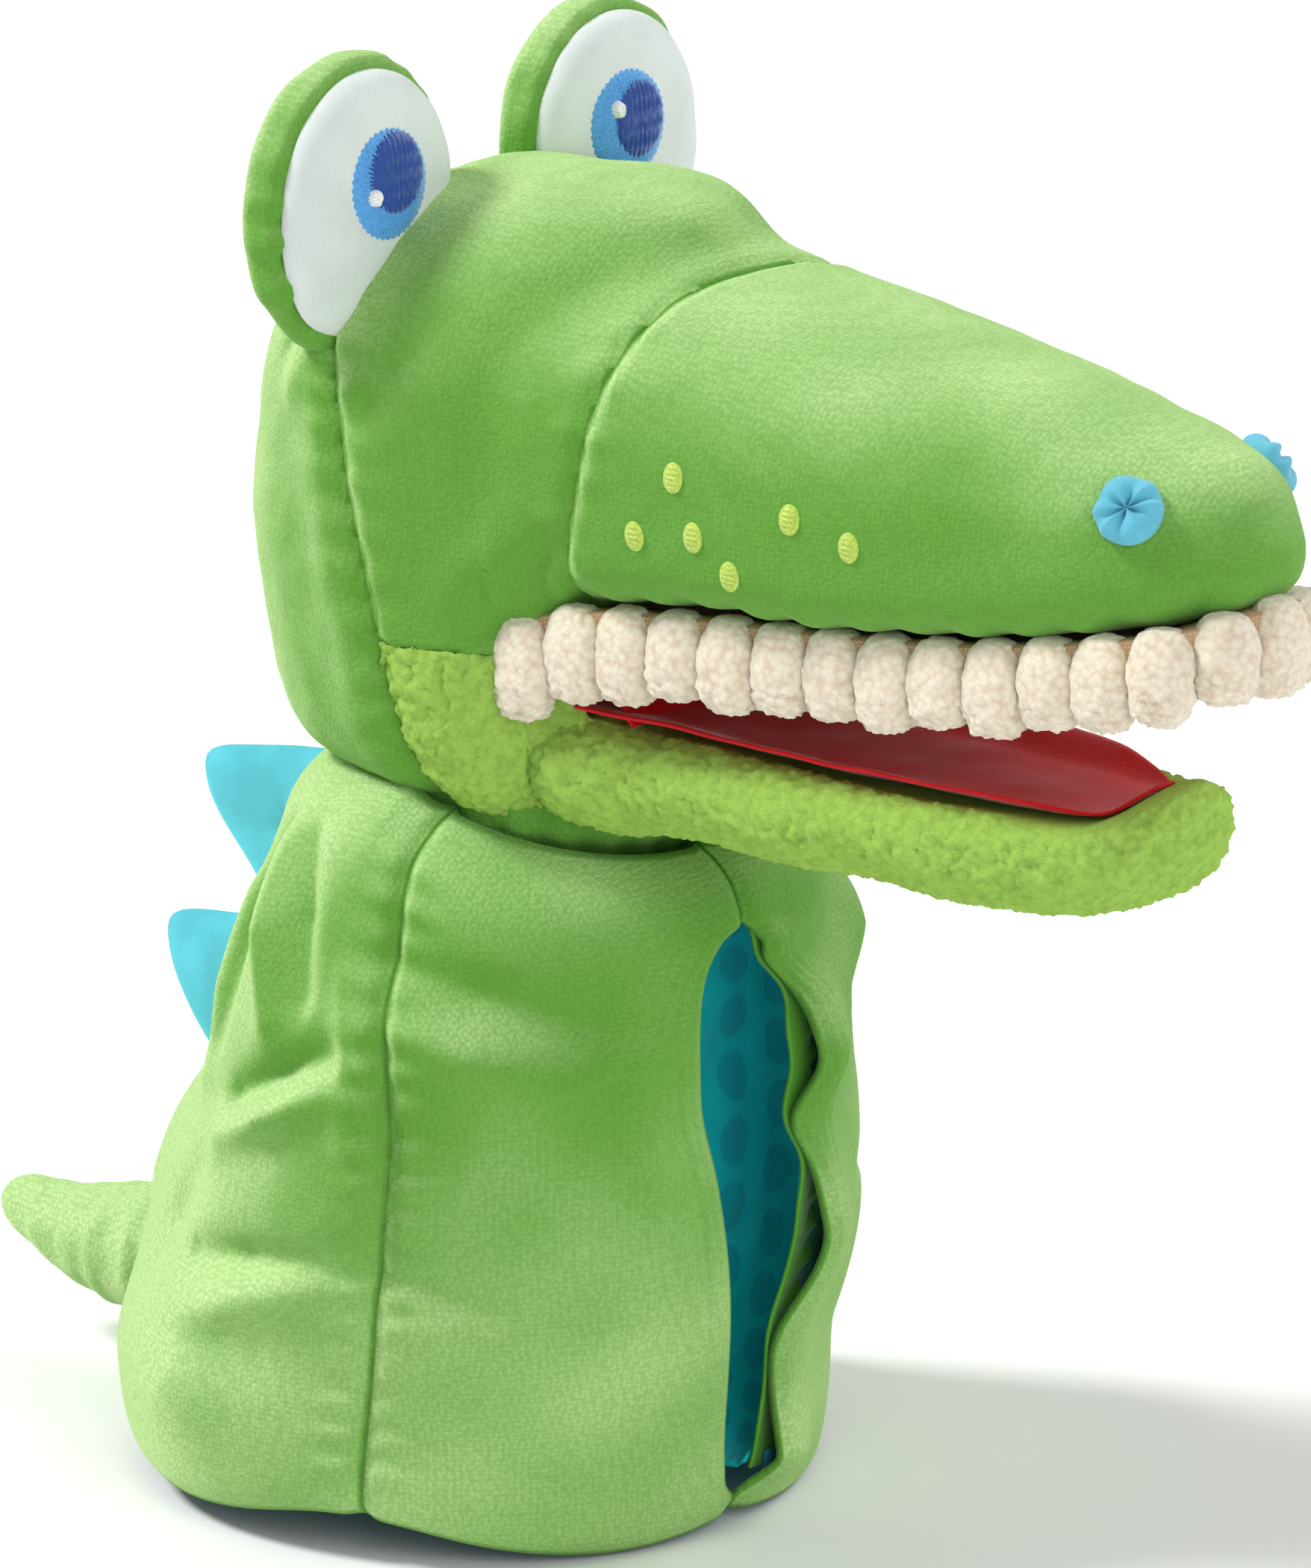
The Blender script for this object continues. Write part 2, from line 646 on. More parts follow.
class PuppetStage(bpy.types.PropertyGroup):
    azimuth: bpy.props.FloatProperty(name="Azimuth", description="Camera's place round the puppet",
                                     subtype="ANGLE", default=math.radians(-50))
    elevation: bpy.props.FloatProperty(name="Elevation", description="Camera's height above level",
                                       subtype="ANGLE", default=math.radians(16))
    distance: bpy.props.FloatProperty(name="Distance", description="Camera's distance", unit="LENGTH",
                                      default=2.2)
    lens: bpy.props.FloatProperty(name="Lens", description="Focal length", unit="CAMERA",
                                  default=235.7)
    target: bpy.props.FloatVectorProperty(name="Target", description="What the camera looks at",
                                          subtype="XYZ", default=(0, -0.05, 0.155))


def sizes():
    """The sizes of the panel's settings, in millimetres."""
    settings = bpy.context.scene.puppet_sizes
    return SimpleNamespace(**{name: getattr(settings, name) / MM for name in PuppetSizes.__annotations__})


MATERIALS = {}


def material(name):
    """The named finish, made the first time that a piece asks for it."""
    if name not in MATERIALS:
        look = bpy.context.scene.puppet_colours
        maker, *values = {
            "green_velour": (velour, look.green, look.pale_green),
            "green_fleece": (fleece, look.fleece),
            "green_facing": (smooth_cloth, look.facing),
            "red_jersey": (smooth_cloth, look.red),
            "tooth_plush": (plush, look.tooth, look.tooth_shade),
            "beige_tape": (woven_tape, look.tape),
            "teal_dots": (dotted_cloth, look.teal, look.dot),
            "blue_hem": (smooth_cloth, look.hem),
            "blue_felt": (felt, look.fin),
            "light_blue_jersey": (smooth_cloth, look.nostril, 0.6),
            "white_satin": (smooth_cloth, look.eye_white, 0.5, 0.15, 0.6),
            "iris_thread": (thread, look.iris),
            "pupil_thread": (thread, look.pupil),
            "glint_thread": (thread, look.glint),
            "spot_thread": (thread, look.spot),
        }[name]
        MATERIALS[name] = maker(name, *values)
    return MATERIALS[name]


# Sleeve
# Folds of the sleeve: each is a line from one point to another, given as the angle round the sleeve
# in degrees from the front (positive towards the puppet's right) and the height, then its half
# width and its depth as a share of the fold depth. Negative depths are valleys.
FOLDS = [
    (74, 130, 63, 84, 6, 0.7), (64, 126, 30, 113, 8, 0.8), (67, 138, 28, 127, 7, -0.7),
    (54, 102, 32, 90, 15, -0.5), (17, 116, 12, 58, 6, 0.45), (62, 62, 34, 42, 13, 0.6),
    (66, 68, 40, 58, 5, -0.55), (46, 28, 18, 24, 9, -0.35), (75, 113, 99, 98, 4.5, -1.1),
    (76, 105, 101, 89, 5.5, 1.1), (72, 66, 99, 60, 4.5, -0.8), (74, 57, 101, 47, 6, 0.8),
    (107, 152, 94, 118, 5.5, 1.1), (98, 152, 86, 124, 4.5, -0.9), (116, 152, 117, 106, 5.5, -0.8),
    (125, 134, 119, 98, 6, 0.7), (112, 36, 80, 28, 11, 0.8), (108, 74, 118, 50, 7, -0.6),
    (132, 140, 146, 92, 8, -0.7), (138, 84, 150, 40, 9, 0.7), (156, 128, 150, 76, 8, 0.5),
    (166, 60, 150, 24, 9, -0.5),
]


def fold_height(angle, height, side):
    """How far the sleeve's folds lift it at an angle in degrees and a height."""
    total = 0
    around = 1.25  # millimetres of cloth to a degree
    shift = 9 * (side > 0)
    for start, low, end, high, width, depth in FOLDS:
        x, z = (angle - start - shift) * around, height - low + 0.6 * shift
        dx, dz = (end - start) * around, high - low
        share = (x * dx + z * dz) / (dx * dx + dz * dz)
        near = min(max(share, 0), 1)
        off = math.hypot(x - near * dx, z - near * dz)
        total += depth * bell(off, width) * (1 - 0.5 * abs(2 * near - 1))
    return total


# The hem's waves: degrees from the front, half width in degrees and height
HEM_WAVES = [(22, 34, -7.5), (70, 17, 3.5), (112, 26, -3.5), (180, 22, 1.5)]


def hem_dip(angle):
    """The hem's height over its plane: it dips in front and is drawn up at the side seams."""
    turn = abs(math.degrees(angle))
    return sum(height * bell(turn - place, width) for place, width, height in HEM_WAVES)


def sleeve_point(angle, height, drawn_in=0.0, folded=1.0):
    """A point of the sleeve's cloth. The angle is in radians from the front, positive to the right side."""
    front = max(math.cos(angle), 0) ** 0.8
    level = height * (1 - 0.1 * front * ramp(height, 60, SLEEVE_TOP))
    level += hem_dip(angle) * ramp(60 - height, 0, 60)
    middle, wide, deep = along(SLEEVE, height)
    side = math.copysign(1, math.sin(angle)) if abs(math.sin(angle)) > 1e-6 else 1
    degrees = abs(math.degrees(angle))
    x, y = -math.sin(angle), -math.cos(angle)
    calm = ramp(SLEEVE_TOP - height, 2, 16) * ramp(height, -2, 14)
    lift = sizes().fold * fold_height(degrees, height, side) * calm * folded
    lift += 2.0 * ripple(math.degrees(angle) * 1.2, height * 0.7, 0, 40, 9) * calm * folded
    seam = seam_pull(angle, height, folded)
    return Vector((x * (wide - drawn_in + lift + seam),
                   middle + y * (deep - drawn_in + lift + seam), level))


def seam_angle(height):
    """Where the side seam lies at a height, as an angle from the front."""
    middle, _, deep = along(SLEEVE, height)
    return math.acos(max(-1, min(1, (middle - along(SIDE_SEAM, height)[0]) / deep)))


def seam_pull(angle, height, folded):
    """The groove and puckers of the side seams and of the middle seam of the back."""
    total = 0
    for place in (seam_angle(height), math.pi):
        off = (abs(angle) - place) * SLEEVE_RADIUS
        puckers = math.sin(height * 0.72 + 2.5 * ripple(0, 0, height, 14, 5))
        total -= sizes().seam * 1.25 * bell(off, 2.6)
        total += sizes().pucker * 1.3 * puckers * bell(off, 9) * (1 - bell(off, 2)) * folded
    return total


# The slit's right edge: height, and distance from the middle of the front
SLIT_NEAR = [(3, 0), (8, 4), (31, 6.5), (55, 9.5), (78, 13.5), (95, 16.5), (115, 16.5), (130, 13),
             (138, 7), (141, 0)]


def slit_reach(height):
    """1 at the middle of the slit's height, 0 at its ends and less past them."""
    return 1 - ((height - SLIT_MIDDLE) / SLIT_HALF_HEIGHT) ** 2


def slit_half_angle(height, side):
    """Half of the slit's opening at a height, as an angle. The left edge is wavy."""
    reach = slit_reach(height)
    if side > 0:
        half = along(SLIT_NEAR, height)[0]
    else:
        half = SLIT_HALF_WIDTH * math.sqrt(max(reach, 0))
        waves = 2.4 * math.sin(height * 0.12 + 0.8) + 1.0 * math.sin(height * 0.27 + 1)
        half += ramp(reach, 0, 0.4) * waves
    return max(half, 0.25) / along(SLEEVE, height)[1]


def side_name(side):
    """The name of the sleeve's right (1) or left (-1) side."""
    return "right" if side > 0 else "left"


def front_point(u, v, side):
    """A point of a front panel, which goes from the slit's edge to the side seam."""
    height = SLEEVE_TOP * v
    start, end = slit_half_angle(height, side), seam_angle(height)
    angle = start + (end - start) * u
    point = sleeve_point(side * angle, height)
    off = (angle - start) * SLEEVE_RADIUS
    open_here = ramp(slit_reach(height), 0, 0.25)
    roll = -2.6 * bell(off, 2.0) * open_here
    stitches = sum(-0.45 * bell(off - row, 0.7) for row in (4.0, 7.0)) * open_here
    flare = (4.6 if side < 0 else 1.2) * bell(off, 14) * open_here
    wave = 3.2 * math.sin(height * 0.13 + 0.9) * bell(off, 16) * open_here * (side < 0)
    centre = -1.8 * bell(off, 3) * (1 - open_here)
    out = Vector((-math.sin(side * angle), -math.cos(angle), 0))
    return point + out * (roll + stitches + flare + wave + centre)


def back_point(u, v, side):
    """A point of a back panel, which goes from the side seam to the seam in the middle of the back."""
    height = SLEEVE_TOP * v
    start = seam_angle(height)
    return sleeve_point(side * (start + (math.pi - start) * u), height)


class PUPPET_OT_sleeve(bpy.types.Operator):
    """Sew the sleeve from its four velour panels"""
    bl_idname = "puppet.sleeve"
    bl_label = "Sleeve"

    def execute(self, context):
        for side in (1, -1):
            for which, point, columns, width, flat in (
                    ("front", front_point, 96, 88, (0.094, 0.165)),
                    ("back", back_point, 120, 136, (0.140, 0.165))):
                node = f"{which}_{side_name(side)}_panel"
                thing = cloth_piece(node + "_cloth", (columns, 132), (width, 158),
                                    lambda u, v: point(u, v, side), sizes().cover, SLEEVE_CENTRE)
                finish_piece(thing, "green_velour", None, node)
                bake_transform(thing)
        return {"FINISHED"}


def round_sleeve(gap, share):
    """The angle at a share of the way round the sleeve, from one end of a gap in front to the other."""
    angle = gap + (2 * math.pi - 2 * gap) * share
    return angle if angle <= math.pi else angle - 2 * math.pi


class PUPPET_OT_linings(bpy.types.Operator):
    """Line the sleeve, the slit and the hem, and hang the belly bag behind the slit"""
    bl_idname = "puppet.linings"
    bl_label = "Linings"

    def execute(self, context):
        cloth = sizes().cloth

        def hem(u, v):
            return sleeve_point(round_sleeve(0.16, u), 0.4 + 10.6 * v, 2.6, 0.4)

        thing = cloth_piece("hem_facing_cloth", (180, 12), (446, 10.6), hem, cloth, SLEEVE_CENTRE)
        finish_piece(thing, "blue_hem", "torso", "hem_facing")

        def lining(u, v):
            height = 9 + 125 * v
            gap = 0.28 * ramp(1 - abs(height - SLIT_MIDDLE) / SLIT_HALF_HEIGHT, 0, 0.25)
            return sleeve_point(round_sleeve(gap, u), height, 5.0, 0.5)

        thing = cloth_piece("body_lining_cloth", (150, 60), (440, 125), lining, cloth, SLEEVE_CENTRE)
        finish_piece(thing, "teal_dots", "torso", "body_lining")

        for side in (1, -1):
            def facing(u, v, side=side):
                height = 8 + 130 * v
                start = slit_half_angle(height, side)
                ragged = math.sin(height * 0.9)
                angle = start + 0.01 + u * (12 + 1.2 * ragged) / 72
                zigzag = 1.1 * ragged * ramp(u, 0.3, 1)
                return sleeve_point(side * angle, height, 3.2 + 1.0 * u + zigzag, 1.0)

            name = f"slit_facing_{side_name(side)}"
            thing = cloth_piece(name + "_cloth", (14, 150), (13, 132), facing, cloth, SLEEVE_CENTRE)
            finish_piece(thing, "green_facing", "torso", name)

        def bag(u, v):
            turn = (u - 0.5) * math.pi
            rise = math.sin((v - 0.5) * math.pi * 0.97)
            girth = math.sqrt(1 - rise * rise)
            x = 44 * math.sin(turn) * girth ** 0.6
            z = 68 + 66 * rise
            middle, wide, deep = along(SLEEVE, z)
            wall = middle - deep * math.sqrt(max(1 - (x / wide) ** 2, 0)) + 6.0
            depth = 32 * math.cos(turn) * girth ** 0.6
            depth += (1.6 * ripple(x, depth, z, 15, 8) + 1.1 * ripple(x, depth * 2, z, 7, 2)) * girth
            return Vector((x, wall + max(depth, 0), z))

        thing = cloth_piece("belly_bag_cloth", (70, 90), (96, 132), bag, cloth)
        finish_piece(thing, "teal_dots", "torso", "belly_bag")

        def shoulder(u, v):
            angle = (2 * u - 1) * math.pi
            outer = sleeve_point(angle, 137, 6.5, 0)
            inner = Vector((-36 * math.sin(angle), NECK_MIDDLE - 36 * math.cos(angle), 136))
            point = inner.lerp(outer, v)
            point.z = 135.5 + 0.7 * math.sin(angle * 28) * (1 - 0.5 * v)
            return point

        thing = cloth_piece("shoulder_lining_cloth", (168, 10), (300, 24), shoulder, cloth)
        finish_piece(thing, "teal_dots", "torso", "shoulder_lining")
        return {"FINISHED"}


class PUPPET_OT_neck(bpy.types.Operator):
    """Gather the velour collar that joins the sleeve to the head round the hand's way"""
    bl_idname = "puppet.neck"
    bl_label = "Neck"

    def execute(self, context):
        def collar(u, v):
            angle = (2 * u - 1) * math.pi
            height = 117 + 53 * v
            gathers = 0.8 * math.sin(angle * 26) * (1 - 0.5 * v)
            radius = 33.5 + 8.5 * ramp(height, 138, 152) + gathers
            return Vector((-radius * math.sin(angle), NECK_MIDDLE - radius * math.cos(angle), height))

        thing = cloth_piece("neck_collar", (208, 40), (262, 56), collar, sizes().cloth,
                            (0, NECK_MIDDLE, 145))
        finish_piece(thing, "green_velour", None, "hand_tunnel")
        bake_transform(thing)
        return {"FINISHED"}


# Fins: the sides of each fin's outline as (direction in degrees, distance from its middle)
FIN_SIDES = [(82, 14.5), (0, 26.5), (-40, 20.5), (180, 24)]
FIN_MIDDLES = {"upper": (52.5, 129.5), "lower": (66, 88.5)}


class PUPPET_OT_fins(bpy.types.Operator):
    """Pad the two felt fins on the back"""
    bl_idname = "puppet.fins"
    bl_label = "Back fins"

    def execute(self, context):
        for which, (mid_y, mid_z) in FIN_MIDDLES.items():
            def place(around, share, mid_y=mid_y, mid_z=mid_z):
                sharp = 9
                reach = sum(max(math.cos(around - math.radians(turn)) / off, 0) ** sharp
                            for turn, off in FIN_SIDES) ** (-1 / sharp)
                out = math.sin(share * math.pi)
                face = math.cos(share * math.pi)
                lip = 1 + 0.03 * bell(out - 1, 0.02)
                thick = 5.2 * signed_power(face, 0.75) + 0.5 * ripple(reach * out, around * 6, mid_z, 9)
                wave = 0.8 * math.sin(around * 3 + mid_z)
                return Vector((thick + wave * out, mid_y + reach * out * lip * math.cos(around),
                               mid_z + reach * out * lip * math.sin(around)))

            name = f"back_fin_{which}"
            thing = new_object(name + "_felt", ball_mesh(96, 48, place))
            finish_piece(thing, "blue_felt", "torso", name)
        return {"FINISHED"}


class PUPPET_OT_tail(bpy.types.Operator):
    """Stuff the tail"""
    bl_idname = "puppet.tail"
    bl_label = "Tail"

    def execute(self, context):
        def form(around, share):
            y, middle, wide, high = slice_at(TAIL, share)
            return Vector((wide * math.cos(around), y, middle + high * math.sin(around)))

        thing = skin("tail_velour", [ball_mesh(48, 40, form)], 3.0)
        stuff(thing, lambda p: 1.0 if p.y < 72 or abs(p.x) < 2.5 else 0.0, 2.0)
        subdivide(thing)

        def wrinkles(p, normal):
            seam = -1.0 * bell(p.x, 1.6) * (1 if normal.z < 0 else 0.4)
            bands = 0.5 * math.sin(p.y * 0.55 + 2 * ripple(p.x, p.y, p.z, 12)) * bell(p.y - 88, 26)
            return seam + bands + 0.5 * ripple(p.x, p.y, p.z, 8, 4)

        displace(thing, wrinkles)
        finish_piece(thing, "green_velour", None, "tail_cover", "tail_stuffing")
        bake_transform(thing)
        return {"FINISHED"}


# Head
def cranium_point(around, share):
    """A point of the head behind the snout, before it is stuffed."""
    z, middle, wide, deep = slice_at(CRANIUM, share)
    y = middle + deep * math.sin(around)
    sag = 7 * ramp(-y, 20, 62) * ramp(196 - z, 4, 34)
    return Vector((wide * math.cos(around), y, z - sag))


def roof(y):
    """The height of the mouth's roof at a place in Y."""
    return along(ROOF, y)[0]


def snout_point(around, share):
    """A point of the snout, before it is stuffed: rounded on top and flat below."""
    y, middle, wide, high = slice_at(SNOUT, share)
    upper = math.sin(around) > 0
    power = 2.5 - 0.6 * ramp(-y, 120, 185) if upper else 4.2
    x = wide * signed_power(math.cos(around), 2 / power)
    up = signed_power(math.sin(around), 2 / power)
    depth = high if upper else min(middle - roof(y), high * 1.3)
    return Vector((x, y, middle + depth * up))


def seam_distance(point, seam):
    """How far a point lies behind (positive Y side) a tilted seam plane."""
    (y, z), tilt = seam
    return (point.y - y) * math.cos(tilt) - (point.z - z) * math.sin(tilt)


def seam_plane(seam):
    """A tilted seam plane as a point of it and its normal, which looks back."""
    (y, z), tilt = seam
    return (0, y, z), (0, math.cos(tilt), -math.sin(tilt))


def opposite(plane):
    """A plane with its normal turned round."""
    return plane[0], tuple(-n for n in plane[1])


# Folds of the head's cover: two points, the half width and the height in millimetres
HEAD_FOLDS = [
    ((48, -60, 218), (48, -45, 197), 4, -4.5), ((49, -52, 224), (50, -36, 204), 6, 2.0),
    ((50, -30, 262), (54, -12, 236), 5, -1.6), ((40, -8, 262), (50, 8, 242), 4, 2.0),
    ((36, -2, 264), (46, 14, 250), 3, -2.2), ((50, -18, 214), (54, -30, 196), 6, -1.4),
]


def head_relief(p, normal):
    """Seams, puckers and soft folds of the head's cover."""
    nape = seam_distance(p, NAPE_SEAM)
    brow = seam_distance(p, BROW_SEAM)
    total = -sizes().seam * 1.2 * (bell(nape, 2.4) + 0.8 * bell(brow, 2.0))
    total += 1.5 * bell(nape - 7, 7) + 1.2 * bell(nape + 8, 8)
    puckers = math.sin(p.z * 0.62 + 3 * ripple(p.x, p.y, p.z, 16))
    total += sizes().pucker * puckers * bell(nape, 10) * (1 - bell(nape, 2))
    total += 0.4 * puckers * bell(brow, 7) * (1 - bell(brow, 2))
    q = Vector((abs(p.x), p.y, p.z))
    for start, end, width, height in HEAD_FOLDS:
        off, share = near_line(q, start, end)
        total += height * bell(off, width) * (1 - 0.4 * abs(2 * share - 1))
    edge = p.z - roof(p.y)
    if p.y < -44:
        total += 1.4 * bell(edge - 9, 7) * (1 - abs(normal.z)) - 0.8 * bell(edge - 1, 2.5)
        total += 0.6 * math.sin(p.y * 0.5) * bell(edge - 5, 4)
    dart = bell(p.y + 206 + 0.25 * (p.z - 220), 1.6) * ramp(232 - p.z, 0, 6) * ramp(abs(p.x), 12, 18)
    return total - 1.6 * dart + 0.9 * ripple(p.x, p.y, p.z, 26, 7) + 0.3 * ripple(p.x, p.y, p.z, 8, 6)


class PUPPET_OT_head(bpy.types.Operator):
    """Stuff the head and cut its cover into nape, crown, snout and throat"""
    bl_idname = "puppet.head"
    bl_label = "Head"

    def execute(self, context):
        forms = [ball_mesh(72, 56, cranium_point), ball_mesh(96, 96, snout_point)]
        whole = skin("head_skin", forms, 3.4)

        def held(p):
            edge = abs(p.z - roof(p.y)) < 4 and p.y < -44
            low = p.z < roof(p.y) and p.y < -40
            seams = abs(seam_distance(p, NAPE_SEAM)) < 2.5 or abs(seam_distance(p, BROW_SEAM)) < 2.2
            return 1.0 if edge or low or seams or p.z < 166 else 0.0

        stuff(whole, held, 2.2)
        subdivide(whole)
        displace(whole, head_relief)

        nape, brow = seam_plane(NAPE_SEAM), seam_plane(BROW_SEAM)
        gusset_top = ((0, 0, 192.5), (0, 0, -1))
        below_mouth = ((0, -47, 193), (0, -0.74, 0.67))
        parts = {
            "head_back_panel": ([opposite(nape)], "head_stuffing"),
            "head_crown_panel": ([nape, opposite(brow), gusset_top], "finger_pocket"),
            "snout_panel": ([brow, ((0, 0, 196), (0, 0, -1))], "snout_stuffing"),
        }
        for node, (cuts, inside) in parts.items():
            piece = trimmed(whole, node + "_cloth", cuts)
            thicken(piece, sizes().cover)
            finish_piece(piece, "green_velour", "head", node, inside)

        throat = trimmed(whole, "throat_gusset_fleece", [nape, opposite(gusset_top), below_mouth])
        subdivide(throat)
        curl = sizes().curl
        displace(throat, lambda p, normal: curl * curls(p, 2.3) - 0.4 - 3.5 * ramp(-p.y, 36, 50))
        thicken(throat, sizes().cover)
        finish_piece(throat, "green_fleece", "head", "throat_gusset")
        drop(whole)
        return {"FINISHED"}


# Mouth
def mouth_half_width(y, inset=0.0):
    """Half width of the mouth's outline at a place in Y."""
    back, front, corner = 46 - inset, 29 - inset, -189
    tip = MOUTH_FRONT + inset
    if y >= corner:
        return back + (front - back) * (MOUTH_BACK - y) / (MOUTH_BACK - corner)
    share = min((corner - y) / (corner - tip), 1)
    return front * math.sqrt(max(1 - share ** 2.2, 0))


def mouth_edge(inset, count):
    """Points a step apart along the mouth's outline, from the left corner round the nose to the right."""
    line = []
    steps = 400
    tip = MOUTH_FRONT + inset
    for index in range(steps + 1):
        share = math.sin(index / steps * math.pi / 2)
        y = MOUTH_BACK + (tip - MOUTH_BACK) * share
        line.append(Vector((mouth_half_width(y, inset), y, 0)))
    line += [Vector((-p.x, p.y, 0)) for p in line[-2::-1]]
    lengths = [0.0]
    for before, after in zip(line, line[1:]):
        lengths.append(lengths[-1] + (after - before).length)
    points = []
    index = 0
    for number in range(count):
        wanted = lengths[-1] * (number + 0.5) / count
        while lengths[index + 1] < wanted:
            index += 1
        share = (wanted - lengths[index]) / (lengths[index + 1] - lengths[index])
        ahead = (line[index + 1] - line[index]).normalized()
        points.append((line[index].lerp(line[index + 1], share), ahead))
    return points, lengths[-1]


class PUPPET_OT_mouth(bpy.types.Operator):
    """Line the palate and the back of the mouth with red jersey"""
    bl_idname = "puppet.mouth"
    bl_label = "Mouth linings"

    def execute(self, context):
        def palate(u, v):
            y = -50 - 165 * v
            x = (2 * u - 1) * mouth_half_width(y, 4.5)
            return Vector((x, y, roof(y) - 1.3 + 0.5 * ripple(x, y, 0, 14, 1)))

        thing = cloth_piece("palate_lining_cloth", (48, 100), (72, 172), palate, sizes().cloth)
        finish_piece(thing, "red_jersey", "head", "palate_lining")

        def back(u, v):
            x = (2 * u - 1) * 29
            z = 203 - 26 * v
            y = -53 - 15 * v + 0.01 * x * x * (1 - v)
            return Vector((x, y + 0.7 * ripple(x, y, z, 10, 2), z))

        thing = cloth_piece("mouth_back_cloth", (48, 30), (60, 32), back, sizes().cloth)
        finish_piece(thing, "red_jersey", None, "mouth_back_lining")
        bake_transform(thing)
        return {"FINISHED"}


class PUPPET_OT_teeth(bpy.types.Operator):
    """Fold the teeth from cream plush and sew them to their tape"""
    bl_idname = "puppet.teeth"
    bl_label = "Teeth"

    def execute(self, context):
        points, length = mouth_edge(5.0, TEETH)
        half = length / TEETH / 2 * 1.12
        row = bmesh.new()
        for number, (spot, ahead) in enumerate(points):
            turn = math.atan2(ahead.y, ahead.x)
            seed = number * 3.7
            tall = 9.9 + 0.45 * math.sin(seed) + 1.6 * ramp(spot.y, -80, -45)

            def place(around, share, turn=turn, seed=seed, tall=tall, spot=spot):
                girth, height = ball_slice(share)
                girth **= 0.5
                x = half * girth * signed_power(math.cos(around), 0.8)
                y = 6.2 * girth * signed_power(math.sin(around), 0.85)
                z = tall * signed_power(height, 0.8) - tall + 1.8
                narrow = 1 - 0.10 * ramp(z, -7, 2)
                point = Vector((x * narrow, y * narrow, z))
                fuzz = 0.4 + 0.6 * ramp(-z, 3, 13)
                out = Vector((math.cos(around), math.sin(around), 0.5 * height))
                point += out * fuzz * (1.3 * curls(point + Vector((seed * 9, 0, 0)), 1.9) - 0.6)
                point += out * 0.5 * ripple(point.x + seed * 5, point.y, point.z, 5)
                point.rotate(Matrix.Rotation(turn + 0.05 * math.sin(seed * 2), 3, "Z"))
                point.rotate(Matrix.Rotation(0.04 * math.sin(seed * 1.3), 3, "Y"))
                return point + Vector((spot.x, spot.y, roof(spot.y)))

            add_to(row, ball_mesh(44, 40, place))
        thing = new_object("teeth_plush", row)
        finish_piece(thing, "tooth_plush", "head", "teeth_strip")

        steps = 239
        edge, length = mouth_edge(6.6, steps + 1)

        def tape(u, v):
            spot, _ = edge[min(int(u * 239.99), steps)]
            return Vector((spot.x, spot.y, roof(spot.y) + 0.6 - 13.5 * v))

        thing = cloth_piece("teeth_tape_cloth", (steps, 8), (length, 13.5), tape, 6.0)
        finish_piece(thing, "beige_tape", "head", "teeth_tape")
        length * MM
        return {"FINISHED"}


# Lower jaw
JAW_RIM = [(-38, 181), (-60, 180), (-92, 178.5), (-135, 178), (-166, 178), (-180, 178.8), (-190, 181),
           (-198, 183)]


def jaw_top(y):
    """The height of the jaw's rim at a place in Y."""
    return along(JAW_RIM, y)[0]


def jaw_hollow(x, y, wide, depth):
    """How far the top of the jaw is hollowed at a place, where the jaw is half as wide as wide says."""
    inside = 1 - ramp(abs(x) / max(wide, 0.1), 0.45, 0.86)
    return depth * inside * (1 - ramp(-y, 180, 190)) * ramp(-y, 52, 80)


class PUPPET_OT_jaw(bpy.types.Operator):
    """Make the lower jaw of curly fleece with its red lining"""
    bl_idname = "puppet.jaw"
    bl_label = "Lower jaw"

    def execute(self, context):
        def form(around, share):
            y, middle, wide, high = slice_at(JAW, share)
            up = signed_power(math.sin(around), 2 / 2.5)
            x = wide * signed_power(math.cos(around), 2 / 2.3)
            body = ramp(high, 2, 13)
            top = (jaw_top(y) - middle) * body + high * (1 - body)
            z = middle + (top * up if up > 0 else high * up)
            if up > 0:
                z -= jaw_hollow(x, y, wide, 4.6)
            return Vector((x, y, z))

        thing = skin("jaw_fleece", [ball_mesh(96, 96, form)], 2.2)
        stuff(thing, lambda p: 1.0 if p.z > 172 or p.y > -60 else 0.0, 1.6, 3.0)
        subdivide(thing)

        def relief(p, normal):
            off, _ = near_line(Vector((abs(p.x), p.y, p.z)), (17, -176, 153), (11, -194, 170))
            dart = -2.6 * bell(off, 2.2)
            under = 0 if normal.z > 0.75 and abs(p.x) < 24 and p.y < -58 else 1
            total = dart + 1.0 * ripple(p.x, p.y, p.z, 18, 2)
            total += under * (sizes().curl * curls(p, 2.3) - 0.5)
            return total - 1.4 * bell(p.y + 70, 5) * ramp(180 - p.z, 0, 10)

        displace(thing, relief)
        finish_piece(thing, "green_fleece", None, "jaw_cover", "jaw_stuffing", "thumb_pocket")
        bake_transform(thing)

        def lining(u, v):
            y = -56 - 131 * v
            _, wide, _ = along(JAW, y)
            half = (wide * 0.84) * math.sqrt(max(1 - v ** 7, 0.02))
            x = (2 * u - 1) * half
            dish = jaw_hollow(x, y, wide, 4.2)
            return Vector((x, y, jaw_top(y) + 0.5 - dish + 0.5 * ripple(x, y, 0, 13, 3)))

        thing = cloth_piece("jaw_lining_cloth", (48, 96), (56, 144), lining, sizes().cloth)
        finish_piece(thing, "red_jersey", None, "jaw_mouth_lining")
        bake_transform(thing)
        return {"FINISHED"}


# Eyes
EYE = (40.5, -4, 285)
# For each eye: the pupil's middle and half sizes and the glint's middle, from the iris's middle
STITCHES = {"right": ((0.9, 2.0), (9.4, 9.4), (-6.3, -1.7)),
            "left": ((1.8, 0.8), (8.8, 9.3), (-5.0, 4.0))}


